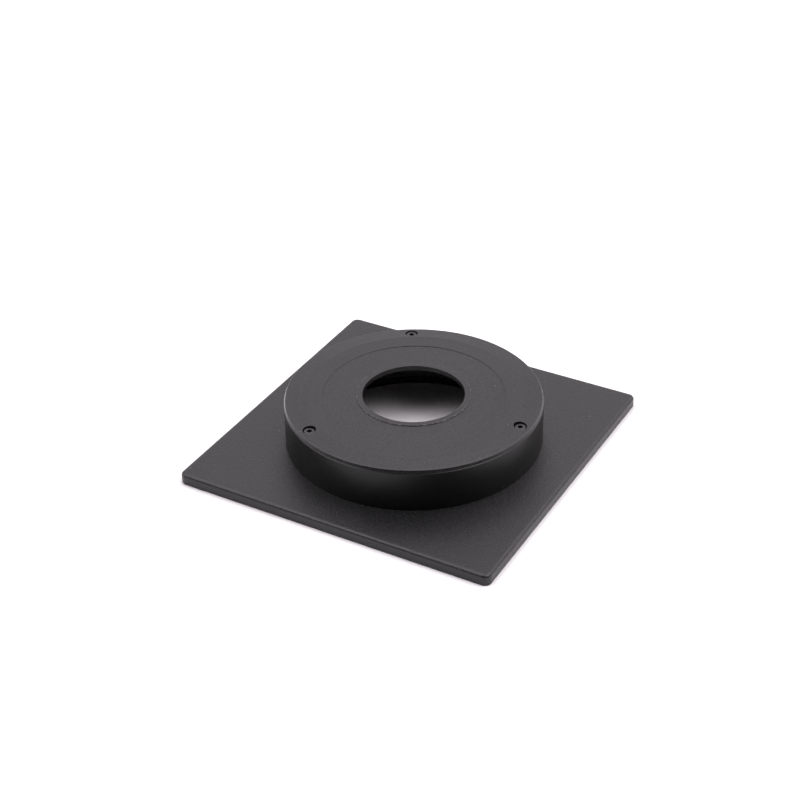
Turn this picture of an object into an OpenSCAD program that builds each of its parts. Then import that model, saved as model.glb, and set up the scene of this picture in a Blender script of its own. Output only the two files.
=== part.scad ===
// Raised lens board for a view camera.
// A square board carries a round drum, and a turned front plate closes the
// drum. The front plate holds the shutter bore. Origin: centre of the board's
// rear face. +Z points to the front of the board, +X and +Y run along its
// edges, and plate screw 1 sits on +X.

/* [Board] */
// Side of the square board
board_w = 140; // [120:0.5:160]
// Thickness of the board
board_t = 4.7; // [3.6:0.1:6]
// Radius of the board's four corners
board_corner_r = 3; // [1.5:0.25:6]
// Bevel along the board's front edge
board_edge = 0.65; // [0.1:0.05:0.8]
// Bevel along the board's rear edge
board_rear_edge = 0.3; // [0.1:0.05:0.5]
// Depth of the seat in the board that the drum stands in
drum_seat = 1; // [0.5:0.1:1.5]

/* [Drum] */
// Outer diameter of the drum
drum_d = 106.7; // [104.5:0.1:110]
// Clear diameter through the drum and the board
drum_bore_d = 92; // [90:0.1:93]
// Height of the drum's top edge over the board's rear face
drum_top = 22; // [20:0.1:30]
// Bevel on the drum's top edge
drum_edge = 0.3; // [0.1:0.05:0.5]
// Diameter of the step in the drum that takes the front plate's spigot
step_d = 103; // [102.6:0.1:103.2]
// Depth of that step below the drum's top edge
step_depth = 2.6; // [2.3:0.1:3]

/* [Front plate] */
// Height of the plate's flat zone over the drum's top edge
face_h = 2.3; // [2.1:0.05:2.5]
// Height of the plate's rim over the drum's top edge
rim_h = 1.45; // [1.35:0.05:1.6]
// Step from the drum's wall in to the plate's rim
rim_step = 0.15; // [0.05:0.05:0.25]
// Width of the bevel around the plate's rim
rim_bevel_w = 0.45; // [0.2:0.05:0.7]
// Height of the bevel around the plate's rim
rim_bevel_h = 1; // [0.2:0.05:1.2]
// Diameter inside which the plate's face is flat
flat_d = 90; // [84:0.5:92]
// Diameter of the shallow recess that clears the shutter's body
recess_d = 74.9; // [70:0.1:80]
// Depth of that recess
recess_depth = 0.15; // [0.1:0.05:0.4]
// Outer diameter of the raised seat around the bore
seat_d = 47.2; // [46:0.1:50]
// Height of the raised seat over the recess
seat_h = 0.3; // [0.2:0.05:0.6]
// Diameter of the shutter bore
bore_d = 42; // [34:0.1:43]
// Thickness of the plate behind its flat zone
plate_t = 2.3; // [1.8:0.1:2.3]
// Bevel behind the bore
bore_rear_edge = 0.5; // [0.2:0.1:0.8]

/* [Plate screws] */
// Diameter of the circle that the plate's screws stand on
screw_pcd = 97; // [96.6:0.1:97.4]
// Thread diameter of a plate screw
screw_d = 2.5; // [2:0.1:2.6]
// Length of a plate screw under its head
screw_l = 8; // [6:0.5:9]
// Head diameter of a plate screw
screw_head_d = 4.5; // [4:0.1:4.7]
// Head height of a plate screw
screw_head_h = 2.5; // [2:0.1:2.6]
// Width across the flats of the hexagon socket
screw_hex = 2; // [1.5:0.1:2]
// Height of a screw head's top over the drum's top edge
screw_head_rise = 1.4; // [1.2:0.05:1.5]
// Diameter of the pocket around a screw head
pocket_d = 5.4; // [5.2:0.1:5.6]

/* [Drum screws] */
// Diameter of the circle that the countersunk screws behind the drum stand on
rear_pcd = 99.4; // [98.6:0.1:100]
// Thread diameter of a countersunk screw
rear_d = 3; // [2.5:0.1:3]
// Length of a countersunk screw, head included
rear_l = 8; // [6:0.5:9]
// Head diameter of a countersunk screw
rear_head_d = 6; // [5.5:0.1:6]
// Width across the flats of its hexagon socket
rear_hex = 2; // [1.5:0.1:2]

/* [Hidden] */
$fn = 96;

// countersunk screws that hold the drum from behind
rear_count = 6;
drum_r = drum_d / 2;
clear_r = drum_bore_d / 2;
drum_foot = board_t - drum_seat;
step_r = step_d / 2;
step_z = drum_top - step_depth;
// running room of the spigot in its step
spigot_gap = 0.06;
spigot_r = step_r - spigot_gap;
spigot_z = step_z + 0.1;
bore_r = bore_d / 2;
seat_r = seat_d / 2;
recess_r = recess_d / 2;
plate_top = drum_top + face_h;
plate_rim = drum_top + rim_h;
rim_r = drum_r - rim_step;
rim_low = plate_rim - rim_bevel_h;
plate_back = plate_top - plate_t;
recess_z = plate_top - recess_depth;
seat_top = recess_z + seat_h;
screw_head_top = drum_top + screw_head_rise;
head_floor = screw_head_top - screw_head_h;
screw_r = screw_pcd / 2;
rear_r = rear_pcd / 2;
// the rear screw heads lie just under the board's rear face
rear_sink = 0.15;
rear_cone_r = rear_head_d / 2 + rear_sink;
tap_gap = 0.05;
black_paint = [0.10, 0.10, 0.105];
black_satin = [0.07, 0.07, 0.075];
black_turned = [0.11, 0.11, 0.115];
black_oxide = [0.09, 0.09, 0.095];

// Square block with rounded corners and bevelled front and rear edges
module bevelled_square(w, t, r, front, rear) {
    section = [[-w / 2 + rear, 0], [w / 2 - rear, 0], [w / 2, rear],
               [w / 2, t - front], [w / 2 - front, t],
               [-w / 2 + front, t], [-w / 2, t - front], [-w / 2, rear]];
    run = w - 2 * r;
    rotate([90, 0, 0])
        linear_extrude(height = run, center = true) polygon(section);
    rotate([90, 0, 90])
        linear_extrude(height = run, center = true) polygon(section);
    for (sx = [-1, 1], sy = [-1, 1])
        translate([sx * run / 2, sy * run / 2, 0])
            rotate_extrude()
                polygon([[0, 0], [r - rear, 0], [r, rear], [r, t - front],
                         [r - front, t], [0, t]]);
}

// Angle of rear screw i, counted from zero
function rear_angle(i) = 360 / rear_count * (i + 0.5);

// Square board with the drum's seat, the clear opening and the rear screw holes
module lens_board() {
    color(black_paint)
    difference() {
        bevelled_square(board_w, board_t, board_corner_r, board_edge, board_rear_edge);
        translate([0, 0, -1]) cylinder(r = clear_r, h = board_t + 2);
        translate([0, 0, drum_foot]) cylinder(r = drum_r + 0.1, h = board_t);
        for (i = [0 : rear_count - 1])
            rotate(rear_angle(i)) translate([rear_r, 0, 0]) {
                translate([0, 0, -1]) cylinder(d = rear_d + 0.2, h = board_t + 2);
                translate([0, 0, -1])
                    cylinder(r1 = rear_cone_r + 0.02 + 1, r2 = rear_d / 2,
                             h = rear_cone_r + 1.02 - rear_d / 2);
            }
    }
}

// Turned ring with the step for the front plate and tapped holes at both ends
module drum() {
    color(black_satin)
    difference() {
        rotate_extrude()
            polygon([[clear_r, drum_foot], [drum_r, drum_foot],
                     [drum_r, drum_top - drum_edge], [drum_r - drum_edge, drum_top],
                     [step_r, drum_top], [step_r, step_z], [clear_r, step_z]]);
        for (a = [0 : 120 : 240])
            rotate(a) translate([screw_r, 0, head_floor - screw_l - 1])
                cylinder(d = screw_d + 2 * tap_gap, h = screw_l + 2);
        for (i = [0 : rear_count - 1])
            rotate(rear_angle(i)) translate([rear_r, 0, drum_foot - 1])
                cylinder(d = rear_d + 2 * tap_gap, h = rear_l - drum_foot + rear_sink + 2);
    }
}

// Turned plate with the dished face, the raised seat, the bore and the spigot
module front_plate() {
    color(black_turned)
    difference() {
        rotate_extrude()
            polygon([[bore_r, plate_back + bore_rear_edge],
                     [bore_r + bore_rear_edge, plate_back],
                     [clear_r, plate_back], [clear_r, spigot_z],
                     [spigot_r, spigot_z], [spigot_r, drum_top],
                     [drum_r - drum_edge, drum_top], [rim_r, rim_low - 0.06],
                     [rim_r, rim_low], [rim_r - rim_bevel_w, plate_rim],
                     [flat_d / 2, plate_top], [recess_r, plate_top],
                     [recess_r, recess_z], [seat_r, recess_z],
                     [seat_r, seat_top - 0.1], [seat_r - 0.1, seat_top],
                     [bore_r + 0.1, seat_top], [bore_r, seat_top - 0.1]]);
        for (a = [0 : 120 : 240])
            rotate(a) translate([screw_r, 0, 0]) {
                translate([0, 0, spigot_z - 1])
                    cylinder(d = screw_d + 0.4, h = plate_top - spigot_z + 2);
                translate([0, 0, head_floor])
                    cylinder(d = pocket_d, h = plate_top - head_floor + 1);
            }
    }
}

// Cap screw with a hexagon socket, its axis on Z and its head's underside at z
module cap_screw(z) {
    hr = screw_head_d / 2;
    color(black_oxide)
    difference() {
        rotate_extrude()
            polygon([[0, z - screw_l], [screw_d / 2 - 0.3, z - screw_l],
                     [screw_d / 2, z - screw_l + 0.3], [screw_d / 2, z], [hr, z],
                     [hr, z + screw_head_h - 0.25], [hr - 0.25, z + screw_head_h],
                     [0, z + screw_head_h]]);
        translate([0, 0, z + screw_head_h - 1.3])
            cylinder(d = screw_hex / cos(30), h = 2, $fn = 6);
    }
}

// Plate screw n of three
module plate_screw(n) {
    rotate(120 * (n - 1)) translate([screw_r, 0, 0]) rotate(11 * n) cap_screw(head_floor);
}
module plate_screw_1() { plate_screw(1); }
module plate_screw_2() { plate_screw(2); }
module plate_screw_3() { plate_screw(3); }

// Countersunk screw with a hexagon socket, its head towards -Z
module flat_screw() {
    hr = rear_head_d / 2;
    sr = rear_d / 2;
    color(black_oxide)
    difference() {
        rotate_extrude()
            polygon([[0, rear_sink], [hr, rear_sink], [sr, rear_sink + hr - sr],
                     [sr, rear_sink + rear_l - 0.35], [sr - 0.35, rear_sink + rear_l],
                     [0, rear_sink + rear_l]]);
        translate([0, 0, rear_sink - 1])
            cylinder(d = rear_hex / cos(30), h = 2.1, $fn = 6);
    }
}

// Drum screw n
module drum_screw(n) {
    rotate(rear_angle(n - 1)) translate([rear_r, 0, 0]) rotate(17 * n) flat_screw();
}
module drum_screw_1() { drum_screw(1); }
module drum_screw_2() { drum_screw(2); }
module drum_screw_3() { drum_screw(3); }
module drum_screw_4() { drum_screw(4); }
module drum_screw_5() { drum_screw(5); }
module drum_screw_6() { drum_screw(6); }

lens_board();
drum();
front_plate();
plate_screw_1();
plate_screw_2();
plate_screw_3();
drum_screw_1();
drum_screw_2();
drum_screw_3();
drum_screw_4();
drum_screw_5();
drum_screw_6();
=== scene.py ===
import math

import bpy
from mathutils import Matrix, Vector


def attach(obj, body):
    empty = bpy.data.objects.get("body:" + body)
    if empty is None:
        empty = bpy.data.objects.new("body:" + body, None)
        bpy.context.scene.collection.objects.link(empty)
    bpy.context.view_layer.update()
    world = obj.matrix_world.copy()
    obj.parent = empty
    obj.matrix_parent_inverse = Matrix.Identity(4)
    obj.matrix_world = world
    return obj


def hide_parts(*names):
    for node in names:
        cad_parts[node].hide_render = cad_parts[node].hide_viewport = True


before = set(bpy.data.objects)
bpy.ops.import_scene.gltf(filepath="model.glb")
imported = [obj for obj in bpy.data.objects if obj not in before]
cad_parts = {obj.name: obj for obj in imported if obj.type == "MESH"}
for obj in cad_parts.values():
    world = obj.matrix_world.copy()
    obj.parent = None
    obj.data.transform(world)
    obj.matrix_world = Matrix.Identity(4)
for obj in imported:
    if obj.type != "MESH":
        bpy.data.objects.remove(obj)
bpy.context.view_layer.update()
scene = bpy.context.scene
MM = 0.001
TAU = 2.0 * math.pi

# ---------------------------------------------------------------- sizes (mm)
BOARD_W, BOARD_T, BOARD_R = 140.0, 4.7, 3.0
DRUM_R, CLEAR_R, DRUM_FOOT, DRUM_TOP = 53.35, 46.0, 3.7, 22.0
STEP_R, STEP_Z = 51.5, 19.4
SPIGOT_R, SPIGOT_Z = 51.44, 19.5
PLATE_TOP, PLATE_RIM, PLATE_BACK = 24.3, 23.45, 22.0
RIM_R, RIM_TOP, BEVEL_Z, DRUM_EDGE = 53.2, 52.75, 22.45, 0.3
FLAT_R, RECESS_R, RECESS_Z = 45.0, 37.45, 24.15
SEAT_R, SEAT_TOP, BORE_R = 23.6, 24.45, 21.0
SCREW_R, HEAD_FLOOR, HEAD_TOP = 48.5, 20.9, 23.4
POCKET_R = 2.7
REAR_R, REAR_SINK = 49.7, 0.15


# ---------------------------------------------------------------- mesh tools
def fillet(points, steps=5):
    """Rounds a closed (r, z) outline. Each point is (r, z) or (r, z, radius)."""
    out = []
    n = len(points)
    for i in range(n):
        p = points[i]
        rad = p[2] if len(p) > 2 else 0.0
        b = Vector((p[0], p[1]))
        if rad <= 0.0:
            out.append((b.x, b.y))
            continue
        a = Vector(points[i - 1][:2]) - b
        c = Vector(points[(i + 1) % n][:2]) - b
        ua, uc = a.normalized(), c.normalized()
        half = math.acos(max(-1.0, min(1.0, ua.dot(uc)))) / 2.0
        cut = min(rad / math.tan(half), a.length * 0.49, c.length * 0.49)
        r = cut * math.tan(half)
        centre = b + (ua + uc).normalized() * (r / math.sin(half))
        s, e = b + ua * cut - centre, b + uc * cut - centre
        a0, a1 = math.atan2(s.y, s.x), math.atan2(e.y, e.x)
        d = (a1 - a0 + math.pi) % TAU - math.pi
        for k in range(steps + 1):
            t = a0 + d * k / steps
            out.append((centre.x + r * math.cos(t), centre.y + r * math.sin(t)))
    return out


def from_rows(name, rows, closed, cap_start=None, cap_end=None):
    """Quads between rows of equal length that run round the axis. Rows are in mm."""
    n = len(rows[0])
    verts = [(x * MM, y * MM, z * MM) for row in rows for x, y, z in row]
    faces = []
    m = len(rows)
    for j in range(m if closed else m - 1):
        k = (j + 1) % m
        for i in range(n):
            h = (i + 1) % n
            faces.append((j * n + i, j * n + h, k * n + h, k * n + i))
    for cap, j in ((cap_start, 0), (cap_end, m - 1)):
        if cap is not None:
            verts.append((cap[0] * MM, cap[1] * MM, cap[2] * MM))
            v = len(verts) - 1
            for i in range(n):
                h = (i + 1) % n
                f = (v, j * n + h, j * n + i) if j == 0 else (v, j * n + i, j * n + h)
                faces.append(f)
    mesh = bpy.data.meshes.new(name)
    mesh.from_pydata(verts, [], faces)
    mesh.validate()
    mesh.update()
    ob = bpy.data.objects.new(name, mesh)
    scene.collection.objects.link(ob)
    return ob


def outward(ob):
    """Turns the faces of a closed mesh outwards."""
    import bmesh
    bm = bmesh.new()
    bm.from_mesh(ob.data)
    bmesh.ops.recalc_face_normals(bm, faces=bm.faces)
    if bm.calc_volume(signed=True) < 0.0:
        bmesh.ops.reverse_faces(bm, faces=bm.faces)
    bm.to_mesh(ob.data)
    bm.free()
    ob.data.update()


def lathe(name, outline, segments, at=(0.0, 0.0)):
    """Closed ring turned from a closed (r, z) outline."""
    rows = []
    for r, z in outline:
        rows.append([(at[0] + r * math.cos(TAU * i / segments),
                      at[1] + r * math.sin(TAU * i / segments), z) for i in range(segments)])
    ob = from_rows(name, rows, True)
    outward(ob)
    return ob


def turned(name, outline, segments, at=(0.0, 0.0)):
    """Solid turned from an open (r, z) outline that starts and ends on the axis."""
    rows = []
    for r, z in outline[1:-1]:
        rows.append([(at[0] + r * math.cos(TAU * i / segments),
                      at[1] + r * math.sin(TAU * i / segments), z) for i in range(segments)])
    ob = from_rows(name, rows, False, (at[0], at[1], outline[0][1]), (at[0], at[1], outline[-1][1]))
    outward(ob)
    return ob


def cut(ob, cutters):
    """Takes the cutters out of ob and removes them."""
    for c in cutters:
        mod = ob.modifiers.new("cut", "BOOLEAN")
        mod.operation = "DIFFERENCE"
        mod.solver = "EXACT"
        mod.object = c
    dg = bpy.context.evaluated_depsgraph_get()
    made = bpy.data.meshes.new_from_object(ob.evaluated_get(dg))
    ob.modifiers.clear()
    old = ob.data
    ob.data = made
    made.name = ob.name
    bpy.data.meshes.remove(old)
    for c in cutters:
        m = c.data
        bpy.data.objects.remove(c)
        bpy.data.meshes.remove(m)


def shade(ob, angle=40.0):
    """Smooth over curves, sharp over corners, flat faces kept flat."""
    me = ob.data
    me.polygons.foreach_set("use_smooth", [True] * len(me.polygons))
    me.set_sharp_from_angle(angle=math.radians(angle))
    w = ob.modifiers.new("even_normals", "WEIGHTED_NORMAL")
    w.keep_sharp = True
    w.weight = 90


def polar(r, deg):
    return (r * math.cos(math.radians(deg)), r * math.sin(math.radians(deg)))


# ---------------------------------------------------------------- lens board
def square_loop(inset, z, per_side=48, per_corner=12):
    """Points round the board's outline, moved in by inset, starting on +X."""
    h = BOARD_W / 2.0
    r = max(BOARD_R - inset, 0.05)
    c = h - BOARD_R if inset < BOARD_R else h - inset - r
    pts = []
    for q in range(4):
        a = math.radians(90.0 * q)
        ca, sa = math.cos(a), math.sin(a)
        for k in range(per_side):
            t = -c + 2.0 * c * k / per_side
            x, y = c + r, t
            pts.append((x * ca - y * sa, x * sa + y * ca, z))
        for k in range(per_corner):
            b = math.radians(90.0 * k / per_corner)
            x, y = c + r * math.cos(b), c + r * math.sin(b)
            pts.append((x * ca - y * sa, x * sa + y * ca, z))
    return pts


def ring_loop(r, z, guide):
    """Points on a circle, at the angles of the guide loop."""
    out = []
    for x, y, _ in guide:
        a = math.atan2(y, x)
        out.append((r * math.cos(a), r * math.sin(a), z))
    return out


def make_board():
    guide = square_loop(0.0, 0.0)
    rows = []
    for r, z in ((CLEAR_R + 0.2, 0.0), (CLEAR_R, 0.2), (CLEAR_R, DRUM_FOOT), (DRUM_R + 0.02, DRUM_FOOT),
                 (DRUM_R + 0.02, BOARD_T - 0.06), (DRUM_R + 0.03, BOARD_T - 0.02), (DRUM_R + 0.06, BOARD_T),
                 (57.0, BOARD_T)):
        rows.append(ring_loop(r, z, guide))
    rows.append(square_loop(6.0, BOARD_T))
    rows.append(square_loop(2.0, BOARD_T))
    e = 1.1
    for k in range(12):
        t = math.radians(90.0 * k / 11)
        rows.append(square_loop(e - e * math.sin(t), BOARD_T - e + e * math.cos(t)))
    e = 0.5
    for k in range(7):
        t = math.radians(90.0 * k / 6)
        rows.append(square_loop(e - e * math.cos(t), e - e * math.sin(t)))
    rows.append(square_loop(1.2, 0.0))
    rows.append(square_loop(6.0, 0.0))
    rows.append(ring_loop(58.0, 0.0, guide))
    ob = from_rows("board_plate", rows, True)
    outward(ob)
    cutters = []
    for i in range(6):
        at = polar(REAR_R, 60.0 * i + 30.0)
        cutters.append(turned("cutter", [(0.0, -1.0), (4.17, -1.0), (1.6, 1.57), (1.6, 4.5), (0.0, 4.5)], 48, at))
    cut(ob, cutters)
    shade(ob, 35.0)
    return ob


# ---------------------------------------------------------------- drum
def make_drum():
    ob = lathe("drum_ring", fillet([
        (CLEAR_R, DRUM_FOOT, 0.15), (DRUM_R, DRUM_FOOT, 0.1), (DRUM_R, DRUM_TOP - DRUM_EDGE, 0.06),
        (DRUM_R - DRUM_EDGE, DRUM_TOP, 0.02), (STEP_R, DRUM_TOP, 0.12), (STEP_R, STEP_Z, 0.1), (CLEAR_R, STEP_Z, 0.25)], 8), 384)
    cutters = []
    for a in (0.0, 120.0, 240.0):
        cutters.append(turned("cutter", [(0.0, 11.6), (1.1, 12.1), (1.3, 12.3), (1.3, 19.15), (1.6, 19.45),
                                         (1.6, 20.5), (0.0, 20.5)], 40, polar(SCREW_R, a)))
    for i in range(6):
        cutters.append(turned("cutter", [(0.0, 3.0), (1.55, 3.0), (1.55, 9.4), (0.0, 10.1)], 40,
                              polar(REAR_R, 60.0 * i + 30.0)))
    cut(ob, cutters)
    shade(ob, 35.0)
    return ob


# ---------------------------------------------------------------- front plate
def make_plate():
    ob = lathe("front_disc", fillet([
        (BORE_R, PLATE_BACK + 0.5, 0.1), (BORE_R + 0.5, PLATE_BACK, 0.1), (CLEAR_R, PLATE_BACK, 0.3),
        (CLEAR_R, SPIGOT_Z, 0.2), (SPIGOT_R, SPIGOT_Z, 0.2), (SPIGOT_R, DRUM_TOP),
        (DRUM_R - DRUM_EDGE, DRUM_TOP), (RIM_R, BEVEL_Z - 0.06, 0.05), (RIM_R, BEVEL_Z, 0.05),
        (RIM_TOP, PLATE_RIM, 0.22), (FLAT_R, PLATE_TOP, 6.0), (RECESS_R, PLATE_TOP, 0.06), (RECESS_R - 0.05, RECESS_Z, 0.05),
        (SEAT_R, RECESS_Z, 0.08), (SEAT_R, SEAT_TOP, 0.2), (BORE_R, SEAT_TOP, 0.1)], 8), 384)
    cutters = []
    for a in (0.0, 120.0, 240.0):
        cutters.append(turned("cutter", [(0.0, 19.0), (1.45, 19.0), (1.45, HEAD_FLOOR), (POCKET_R, HEAD_FLOOR),
                                         (POCKET_R, 26.0), (0.0, 26.0)], 64, polar(SCREW_R, a)))
    cut(ob, cutters)
    shade(ob, 30.0)
    return ob


# ---------------------------------------------------------------- screws
def thread_rows(r, pitch, z0, z1, depth, n, per_pitch=8, run_in=0.6):
    """Rows of a helical thread from z0 to z1, fading out at both ends."""
    rows = []
    count = int(abs(z1 - z0) / pitch * per_pitch)
    for j in range(count + 1):
        z = z0 + (z1 - z0) * j / count
        fade = min(1.0, abs(z - z0) / run_in, abs(z1 - z) / run_in)
        row = []
        for i in range(n):
            a = TAU * i / n
            w = (z / pitch - a / TAU) % 1.0
            tri = 1.0 - abs(2.0 * w - 1.0)
            g = min(max((tri - 0.12) / 0.70, 0.0), 1.0)
            row.append((r - depth * (1.0 - g) * fade, a, z))
        rows.append(row)
    return rows


def hex_r(flat, a):
    s = (a + math.pi / 6.0) % (math.pi / 3.0) - math.pi / 6.0
    return flat / math.cos(s)


def make_screw(name, at, turn, head, shank, socket, tip_z, thread, n=48, flip=False):
    """A screw made of rows round its axis: socket floor, socket, head, shank and thread, tip."""
    rows = []

    def put(pairs):
        rows.append(pairs)

    flat, floor_z, mouth_z = socket
    put([(hex_r(flat * 0.55, TAU * i / n), TAU * i / n, floor_z + (mouth_z - floor_z) * -0.12) for i in range(n)])
    put([(hex_r(flat, TAU * i / n), TAU * i / n, floor_z) for i in range(n)])
    side = 0.06 if mouth_z > floor_z else -0.06
    put([(hex_r(flat, TAU * i / n), TAU * i / n, mouth_z - side) for i in range(n)])
    put([(hex_r(flat + 0.07, TAU * i / n), TAU * i / n, mouth_z) for i in range(n)])
    for r, z in head:
        put([(r, TAU * i / n, z) for i in range(n)])
    r, pitch, z0, z1, depth = thread
    put([(r, TAU * i / n, shank) for i in range(n)])
    rows.extend(thread_rows(r, pitch, z0, z1, depth, n))
    put([(r - 0.3, TAU * i / n, tip_z) for i in range(n)])
    xyz = []
    for row in rows:
        xyz.append([(at[0] + rr * math.cos(a + turn), at[1] + rr * math.sin(a + turn), z) for rr, a, z in row])
    deep = floor_z + (mouth_z - floor_z) * -0.2
    ob = from_rows(name, xyz, False, (at[0], at[1], deep), (at[0], at[1], tip_z))
    outward(ob)
    shade(ob, 38.0)
    return ob


def make_cap_screw(k):
    at = polar(SCREW_R, 120.0 * k)
    head = fillet([(0.0, HEAD_TOP), (2.25, HEAD_TOP, 0.25), (2.25, HEAD_FLOOR, 0.1), (0.0, HEAD_FLOOR)], 4)[1:-1]
    z0 = HEAD_FLOOR - 0.5
    return make_screw("cap_screw_%d" % (k + 1), at, math.radians(120.0 * k + 11.0 * (k + 1)), head, HEAD_FLOOR - 0.05,
                      (1.0, HEAD_TOP - 1.3, HEAD_TOP), HEAD_FLOOR - 8.0,
                      (1.25, 0.45, z0, HEAD_FLOOR - 7.72, 0.22))


def make_flat_screw(k):
    at = polar(REAR_R, 60.0 * k + 30.0)
    head = [(2.85, REAR_SINK), (3.0, REAR_SINK + 0.06), (2.99, REAR_SINK + 0.12), (1.5, REAR_SINK + 1.5)]
    return make_screw("flat_screw_%d" % (k + 1), at, math.radians(60.0 * k + 30.0 + 17.0 * (k + 1)), head,
                      REAR_SINK + 1.6, (1.0, REAR_SINK + 1.1, REAR_SINK), REAR_SINK + 8.0,
                      (1.5, 0.5, REAR_SINK + 2.0, REAR_SINK + 7.7, 0.25))


# ---------------------------------------------------------------- materials
class Nodes:
    """Short hand for building a node tree."""

    def __init__(self, name):
        self.mat = bpy.data.materials.new(name)
        self.mat.use_nodes = True
        self.t = self.mat.node_tree
        self.t.nodes.clear()
        self.out = self.t.nodes.new("ShaderNodeOutputMaterial")
        self.bsdf = self.t.nodes.new("ShaderNodeBsdfPrincipled")
        self.t.links.new(self.bsdf.outputs[0], self.out.inputs[0])
        self.coord = self.t.nodes.new("ShaderNodeTexCoord").outputs["Object"]

    def link(self, a, b):
        self.t.links.new(a, b)

    def set(self, **values):
        for k, v in values.items():
            self.bsdf.inputs[k.replace("_", " ")].default_value = v

    def put(self, socket, value):
        if hasattr(value, "is_linked") or isinstance(value, bpy.types.NodeSocket):
            self.link(value, socket)
        else:
            socket.default_value = value

    def math(self, op, a, b=0.0, c=None, clamp=False):
        n = self.t.nodes.new("ShaderNodeMath")
        n.operation = op
        n.use_clamp = clamp
        self.put(n.inputs[0], a)
        self.put(n.inputs[1], b)
        if c is not None:
            self.put(n.inputs[2], c)
        return n.outputs[0]

    def vmath(self, op, a, b):
        n = self.t.nodes.new("ShaderNodeVectorMath")
        n.operation = op
        self.put(n.inputs[0], a)
        self.put(n.inputs[1], b)
        return n.outputs[0]

    def noise(self, scale, detail=2.0, rough=0.5, vector=None, dims="3D"):
        n = self.t.nodes.new("ShaderNodeTexNoise")
        n.noise_dimensions = dims
        self.link(vector or self.coord, n.inputs["Vector"])
        n.inputs["Scale"].default_value = scale
        n.inputs["Detail"].default_value = detail
        n.inputs["Roughness"].default_value = rough
        return n.outputs[0]

    def voronoi(self, scale, feature="F1", vector=None, out="Distance", rand=1.0, dims="3D"):
        n = self.t.nodes.new("ShaderNodeTexVoronoi")
        n.feature = feature
        n.voronoi_dimensions = dims
        self.link(vector or self.coord, n.inputs["Vector"])
        n.inputs["Scale"].default_value = scale
        n.inputs["Randomness"].default_value = rand
        return n.outputs[out]

    def remap(self, v, a, b, lo, hi, smooth=False):
        n = self.t.nodes.new("ShaderNodeMapRange")
        n.interpolation_type = "SMOOTHSTEP" if smooth else "LINEAR"
        self.link(v, n.inputs[0])
        n.inputs[1].default_value = a
        n.inputs[2].default_value = b
        n.inputs[3].default_value = lo
        n.inputs[4].default_value = hi
        return n.outputs[0]

    def ramp(self, v, stops):
        n = self.t.nodes.new("ShaderNodeValToRGB")
        e = n.color_ramp.elements
        while len(e) < len(stops):
            e.new(0.5)
        for i, (p, c) in enumerate(stops):
            e[i].position = p
            e[i].color = (c[0], c[1], c[2], 1.0)
        self.link(v, n.inputs[0])
        return n.outputs[0]

    def mix(self, f, a, b):
        n = self.t.nodes.new("ShaderNodeMix")
        n.data_type = "RGBA"
        self.put(n.inputs[0], f)
        self.put(n.inputs[6], a if not isinstance(a, tuple) else (*a, 1.0))
        self.put(n.inputs[7], b if not isinstance(b, tuple) else (*b, 1.0))
        return n.outputs[2]

    def bump(self, height, strength, distance, normal=None):
        n = self.t.nodes.new("ShaderNodeBump")
        n.inputs["Strength"].default_value = strength
        n.inputs["Distance"].default_value = distance
        self.link(height, n.inputs["Height"])
        if normal is not None:
            self.link(normal, n.inputs["Normal"])
        return n.outputs[0]

    def split(self, v):
        n = self.t.nodes.new("ShaderNodeSeparateXYZ")
        self.link(v, n.inputs[0])
        return n.outputs

    def join(self, x, y, z):
        n = self.t.nodes.new("ShaderNodeCombineXYZ")
        self.put(n.inputs[0], x)
        self.put(n.inputs[1], y)
        self.put(n.inputs[2], z)
        return n.outputs[0]


def dust(m, u, v, scale, share, size):
    """Specks of dust strewn over a surface with coordinates u and v: 1 on a speck, 0 elsewhere."""
    at = m.join(u, v, 0.0)
    d = m.voronoi(scale, vector=at, out="Distance", dims="2D")
    pick = m.split(m.voronoi(scale, vector=at, out="Color", dims="2D"))[0]
    return m.math("LESS_THAN", d, m.remap(pick, 1.0 - share, 1.0, 0.0, size))


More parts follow.
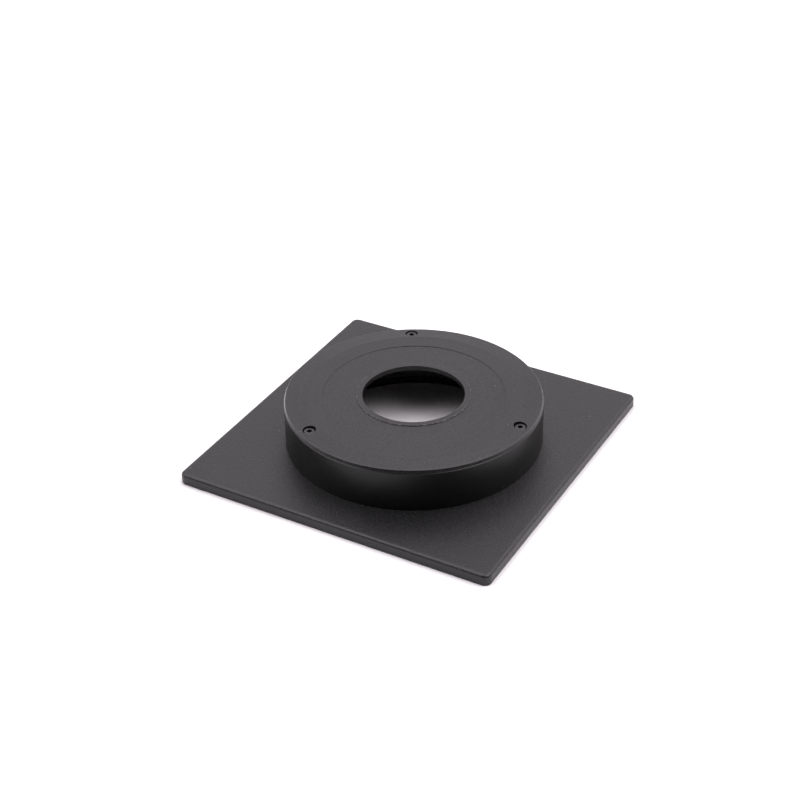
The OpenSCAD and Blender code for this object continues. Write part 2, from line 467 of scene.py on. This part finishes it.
def board_paint():
    m = Nodes("board_matte_paint")
    x, y, z = m.split(m.coord)
    grain = m.noise(2000.0, 2.0, 0.6)
    fine = m.noise(1500.0, 1.0, 0.5, m.vmath("ADD", m.coord, (0.31, 0.17, 0.23)))
    cloud = m.noise(28.0, 3.0, 0.5)
    tone = m.math("ADD", m.math("MULTIPLY", fine, 0.85), m.math("MULTIPLY", cloud, 0.15))
    base = m.ramp(tone, [(0.36, (0.0010, 0.0010, 0.0011)), (0.52, (0.0080, 0.0080, 0.0083)), (0.66, (0.0190, 0.0190, 0.0194))])
    far = m.math("MAXIMUM", m.math("ABSOLUTE", x), m.math("ABSOLUTE", y))
    edge = m.remap(far, 0.0689, 0.0698, 0.0, 1.0, True)
    worn = m.math("MULTIPLY", edge, m.remap(m.noise(160.0, 4.0, 0.65), 0.54, 0.74, 0.0, 1.0, True))
    base = m.mix(m.math("MULTIPLY", worn, 0.35), base, (0.040, 0.039, 0.041))
    # painted highlight: the base colour is lightened in a line along the upper start of the board's rounded top edge,
    # varied by noise
    lip = m.math("MULTIPLY", m.remap(far, 0.06835, 0.06875, 0.0, 1.0, True), m.remap(far, 0.06960, 0.06920, 0.0, 1.0, True))
    lip = m.math("MULTIPLY", lip, m.remap(z, 0.0038, 0.0042, 0.0, 1.0, True))
    lip_lightening = m.math("MULTIPLY", lip, m.remap(m.noise(240.0, 3.0, 0.6), 0.35, 0.65, 0.25, 0.50))
    base = m.mix(lip_lightening, base, (0.040, 0.0392, 0.0398))
    # painted shade: the board's side faces get a darker base colour than its top; they are also made smoother below
    side = m.math("MULTIPLY", m.remap(far, 0.06955, 0.06985, 0.0, 1.0, True), m.remap(z, 0.0046, 0.0040, 0.0, 1.0, True))
    base = m.mix(m.math("MULTIPLY", side, 0.65), base, (0.0008, 0.0008, 0.0009))
    top = m.math("GREATER_THAN", z, 0.00465)
    base = m.mix(m.math("MULTIPLY", top, dust(m, x, y, 118.0, 0.14, 0.036)), base, (0.095, 0.094, 0.093))
    # painted glints: light flecks strewn on the board around the drum's foot
    out = m.math("SQRT", m.math("ADD", m.math("MULTIPLY", x, x), m.math("MULTIPLY", y, y)))
    foot = m.math("MULTIPLY", top, m.remap(out, 0.0540, 0.0700, 1.0, 0.0, True))
    foot_glints = m.remap(m.noise(1300.0, 1.0, 0.5, m.vmath("ADD", m.coord, (0.12, 0.41, 0.07))), 0.60, 0.82, 0.0, 0.7)
    base = m.mix(m.math("MULTIPLY", foot, foot_glints), base, (0.075, 0.073, 0.076))
    m.link(base, m.bsdf.inputs["Base Color"])
    rough = m.math("ADD", m.remap(grain, 0.3, 0.7, 0.33, 0.37), m.remap(cloud, 0.3, 0.7, -0.02, 0.02))
    rough = m.math("SUBTRACT", rough, m.math("MULTIPLY", side, 0.06))
    m.link(m.math("SUBTRACT", rough, m.math("MULTIPLY", lip, 0.02)), m.bsdf.inputs["Roughness"])
    h = m.math("MULTIPLY", m.math("SUBTRACT", grain, 0.5), m.remap(lip, 0.0, 1.0, 1.0, 0.4))
    m.link(m.bump(h, 1.0, 0.00015), m.bsdf.inputs["Normal"])
    m.set(IOR=1.45)
    return m.mat


def drum_satin():
    m = Nodes("drum_satin_black")
    x, y, z = m.split(m.coord)
    r = m.math("SQRT", m.math("ADD", m.math("MULTIPLY", x, x), m.math("MULTIPLY", y, y)))
    ang = m.math("ARCTAN2", y, x)
    lathe_v = m.join(m.math("MULTIPLY", ang, 6.0), 0.0, m.math("MULTIPLY", z, 9000.0))
    lines = m.noise(1.0, 2.0, 0.5, lathe_v)
    grain = m.noise(2600.0, 2.0, 0.5)
    cloud = m.noise(45.0, 3.0, 0.55)
    inside = m.remap(r, 0.0500, 0.0472, 0.0, 1.0, True)
    tone = m.math("ADD", m.math("MULTIPLY", cloud, 0.7), m.math("MULTIPLY", grain, 0.3))
    base = m.ramp(tone, [(0.30, (0.0016, 0.0019, 0.0018)), (0.70, (0.0038, 0.0043, 0.0041))])
    flock = m.ramp(tone, [(0.30, (0.050, 0.0490, 0.0495)), (0.70, (0.070, 0.0685, 0.0690))])
    base = m.mix(inside, base, flock)
    base = m.mix(dust(m, m.math("MULTIPLY", ang, 0.05335), z, 110.0, 0.25, 0.032), base, (0.070, 0.068, 0.067))
    # worn bare metal along the drum's top edge, lighter and slightly metallic; the lighter line is partly a painted
    # highlight
    edge = m.math("MULTIPLY", m.remap(z, 0.02168, 0.02174, 0.0, 1.0, True), m.remap(r, 0.0528, 0.0530, 0.0, 1.0, True))
    worn_edge_and_highlight = m.math("MULTIPLY", edge, 0.05)
    base = m.mix(worn_edge_and_highlight, base, (0.40, 0.40, 0.405))
    m.link(base, m.bsdf.inputs["Base Color"])
    m.link(worn_edge_and_highlight, m.bsdf.inputs["Metallic"])
    rough = m.math("ADD", m.remap(cloud, 0.3, 0.7, 0.325, 0.345), m.remap(grain, 0.3, 0.7, -0.01, 0.01))
    rough = m.math("ADD", rough, m.math("MULTIPLY", inside, 0.4))
    m.link(m.math("SUBTRACT", rough, m.math("MULTIPLY", edge, 0.12)), m.bsdf.inputs["Roughness"])
    h = m.math("ADD", m.math("MULTIPLY", lines, 0.6), m.math("MULTIPLY", grain, 0.4))
    m.link(m.bump(h, 0.30, 0.00003), m.bsdf.inputs["Normal"])
    m.set(IOR=1.40)
    return m.mat


def plate_turned():
    m = Nodes("plate_turned_black")
    x, y, z = m.split(m.coord)
    r = m.math("SQRT", m.math("ADD", m.math("MULTIPLY", x, x), m.math("MULTIPLY", y, y)))
    ang = m.math("ARCTAN2", y, x)
    ring_v = m.join(m.math("MULTIPLY", r, 5200.0), m.math("MULTIPLY", ang, 1.4), m.math("MULTIPLY", z, 5200.0))
    rings = m.noise(1.0, 3.0, 0.6, ring_v)
    wide_v = m.join(m.math("MULTIPLY", r, 420.0), m.math("MULTIPLY", ang, 0.8), 0.0)
    wide = m.noise(1.0, 2.0, 0.5, wide_v)
    grain = m.noise(1400.0, 2.0, 0.6)
    fine = m.noise(1600.0, 1.0, 0.5, m.vmath("ADD", m.coord, (0.13, 0.29, 0.11)))
    cloud = m.noise(36.0, 3.0, 0.55)
    tone = m.math("ADD", m.math("MULTIPLY", rings, 0.15), m.math("MULTIPLY", wide, 0.10))
    tone = m.math("ADD", tone, m.math("ADD", m.math("MULTIPLY", fine, 0.60), m.math("MULTIPLY", cloud, 0.15)))
    base = m.ramp(tone, [(0.39, (0.0006, 0.0006, 0.0007)), (0.61, (0.0150, 0.0151, 0.0154))])
    top = m.math("GREATER_THAN", z, 0.0232)
    base = m.mix(m.math("MULTIPLY", top, dust(m, x, y, 112.0, 0.13, 0.034)), base, (0.105, 0.104, 0.103))
    lip = m.math("MULTIPLY", m.remap(r, 0.02325, 0.02345, 0.0, 1.0, True), m.remap(r, 0.02366, 0.02361, 0.0, 1.0, True))
    lip = m.math("MULTIPLY", lip, m.remap(z, 0.02418, 0.02426, 0.0, 1.0, True))
    # patchy wear lightens the rim of the lens seat
    lip_lightening = m.remap(m.noise(620.0, 3.0, 0.6, m.vmath("ADD", m.coord, (0.41, 0.07, 0.19))), 0.47, 0.64, 0.0, 0.55, True)
    base = m.mix(m.math("MULTIPLY", lip, lip_lightening), base, (0.190, 0.188, 0.186))
    rim = m.remap(r, 0.0521, 0.0525, 0.0, 1.0, True)
    # worn bare metal along the rim's top rounding, lighter and slightly metallic; the lighter line is partly a painted
    # highlight
    worn_edge_and_highlight = m.math("MULTIPLY", m.remap(r, 0.05250, 0.05258, 0.0, 1.0, True), m.remap(z, 0.02322, 0.02330, 0.0, 0.10, True))
    base = m.mix(worn_edge_and_highlight, base, (0.30, 0.30, 0.305))
    m.link(base, m.bsdf.inputs["Base Color"])
    m.link(worn_edge_and_highlight, m.bsdf.inputs["Metallic"])
    rough = m.math("ADD", m.remap(rings, 0.3, 0.7, 0.31, 0.37), m.remap(cloud, 0.3, 0.7, -0.02, 0.02))
    m.link(m.math("SUBTRACT", rough, m.math("MULTIPLY", rim, 0.07)), m.bsdf.inputs["Roughness"])
    h = m.math("ADD", m.math("MULTIPLY", rings, 0.55), m.math("MULTIPLY", grain, 0.45))
    h = m.math("MULTIPLY", m.math("SUBTRACT", h, 0.5), m.remap(rim, 0.0, 1.0, 1.0, 0.05))
    m.link(m.bump(h, 0.8, 0.00009), m.bsdf.inputs["Normal"])
    m.set(IOR=1.45)
    return m.mat


def screw_oxide():
    m = Nodes("screw_black_oxide")
    grain = m.noise(3600.0, 3.0, 0.6)
    cloud = m.noise(420.0, 3.0, 0.5)
    base = m.ramp(m.math("ADD", m.math("MULTIPLY", grain, 0.5), m.math("MULTIPLY", cloud, 0.5)),
                  [(0.32, (0.010, 0.0098, 0.0103)), (0.68, (0.022, 0.0215, 0.0224))])
    m.link(base, m.bsdf.inputs["Base Color"])
    m.link(m.remap(cloud, 0.3, 0.7, 0.36, 0.46), m.bsdf.inputs["Roughness"])
    m.link(m.bump(grain, 0.15, 0.00004), m.bsdf.inputs["Normal"])
    m.set(IOR=1.5)
    return m.mat


def floor_white():
    m = Nodes("floor_white_paper")
    fine = m.noise(900.0, 3.0, 0.5)
    m.link(m.ramp(fine, [(0.3, (0.84, 0.84, 0.84)), (0.7, (0.86, 0.86, 0.86))]), m.bsdf.inputs["Base Color"])
    m.set(Roughness=0.9, IOR=1.3)
    return m.mat


# ---------------------------------------------------------------- assembly
paint, satin, disc, oxide = board_paint(), drum_satin(), plate_turned(), screw_oxide()


def place(ob, body, node, mat):
    ob.data.materials.clear()
    ob.data.materials.append(mat)
    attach(ob, body)
    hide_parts(node)


place(make_board(), "board", "lens_board", paint)
place(make_drum(), "board", "drum", satin)
place(make_plate(), "plate", "front_plate", disc)
for k in range(3):
    place(make_cap_screw(k), "screw_%d" % (k + 1), "plate_screw_%d" % (k + 1), oxide)
for k in range(6):
    place(make_flat_screw(k), "board", "drum_screw_%d" % (k + 1), oxide)

# ---------------------------------------------------------------- floor, light, camera
fm = bpy.data.meshes.new("floor")
s = 3.0
fm.from_pydata([(-s, -s, 0.0), (s, -s, 0.0), (s, s, 0.0), (-s, s, 0.0)], [], [(0, 1, 2, 3)])
floor = bpy.data.objects.new("floor", fm)
floor.location.z = -0.00002
fm.materials.append(floor_white())
scene.collection.objects.link(floor)

# Soft boxes high on the left and on the right of the camera, white screens behind and at the sides, and a dim room on
# the camera's side
class Sky(Nodes):
    def __init__(self, world):
        world.use_nodes = True
        self.t = world.node_tree
        self.coord = self.t.nodes.new("ShaderNodeTexCoord").outputs["Generated"]

    def along(self, azimuth, zenith):
        az, ze = math.radians(azimuth), math.radians(zenith)
        n = self.t.nodes.new("ShaderNodeVectorMath")
        n.operation = "DOT_PRODUCT"
        self.link(self.coord, n.inputs[0])
        n.inputs[1].default_value = (math.sin(ze) * math.cos(az), math.sin(ze) * math.sin(az), math.cos(ze))
        return n.outputs["Value"]

    def lobe(self, azimuth, zenith, full, none, strength):
        """Light from one patch, full inside one angle and none outside the other."""
        arc = self.math("ARCCOSINE", self.along(azimuth, zenith))
        return self.remap(arc, math.radians(none), math.radians(full), 0.0, strength, True)

    def wall(self, azimuth, full, none, low, high, strength, smooth=True):
        """Light from an upright screen, given by angles to both sides and by two heights."""
        x, y, z = self.split(self.coord)
        level = self.math("SQRT", self.math("ADD", self.math("MULTIPLY", x, x), self.math("MULTIPLY", y, y)))
        side = self.math("DIVIDE", self.along(azimuth, 90.0), self.math("MAXIMUM", level, 0.001))
        across = self.remap(side, math.cos(math.radians(none)), math.cos(math.radians(full)), 0.0, strength, smooth)
        up = self.remap(z, math.sin(math.radians(high)), math.sin(math.radians(low)), 0.0, 1.0, True)
        return self.math("MULTIPLY", across, up)


world = bpy.data.worlds.new("studio")
scene.world = world
sky = Sky(world)
total = sky.math("ADD", sky.lobe(215.7, 31.0, 2.0, 29.7, 5.5), sky.lobe(26.8, 29.1, 2.0, 40.4, 5.2))
total = sky.math("ADD", total, sky.math("MAXIMUM", sky.wall(119.6, 20.0, 70.0, 60.0, 90.0, 0.85),
                                        sky.wall(119.6, 85.0, 175.0, 14.0, 30.0, 0.95, False)))
total = sky.math("ADD", total, sky.lobe(38.0, 82.0, 10.0, 45.0, 0.4))
total = sky.math("ADD", total, sky.math("ADD", sky.lobe(203.0, 60.0, 8.0, 26.0, 1.5), sky.lobe(59.6, 61.0, 5.0, 26.0, 1.0)))
total = sky.math("ADD", total, sky.lobe(119.6, 28.0, 5.0, 45.0, 1.25))
total = sky.math("ADD", total, 0.05)
bg = sky.t.nodes.get("Background") or sky.t.nodes.new("ShaderNodeBackground")
sky.link(total, bg.inputs["Strength"])
bg.inputs["Color"].default_value = (1.0, 0.945, 0.99, 1.0)

cam_data = bpy.data.cameras.new("camera")
cam = bpy.data.objects.new("camera", cam_data)
scene.collection.objects.link(cam)
cam_data.sensor_width = 36.0
cam_data.lens = 1696.2851 * 36.0 / 800.0
cam_data.clip_start, cam_data.clip_end = 0.01, 50.0
right = Vector((0.8715140, 0.4901064, -0.0160961))
down = Vector((0.2576242, -0.4855467, -0.8353886))
ahead = Vector((-0.4172447, 0.7239061, -0.5494240))
rot = Matrix((right, -down, -ahead)).transposed().to_4x4()
cam.matrix_world = Matrix.Translation((0.285817, -0.507185, 0.404105)) @ rot
scene.camera = cam

scene.view_settings.view_transform = "Standard"
scene.view_settings.look = "None"
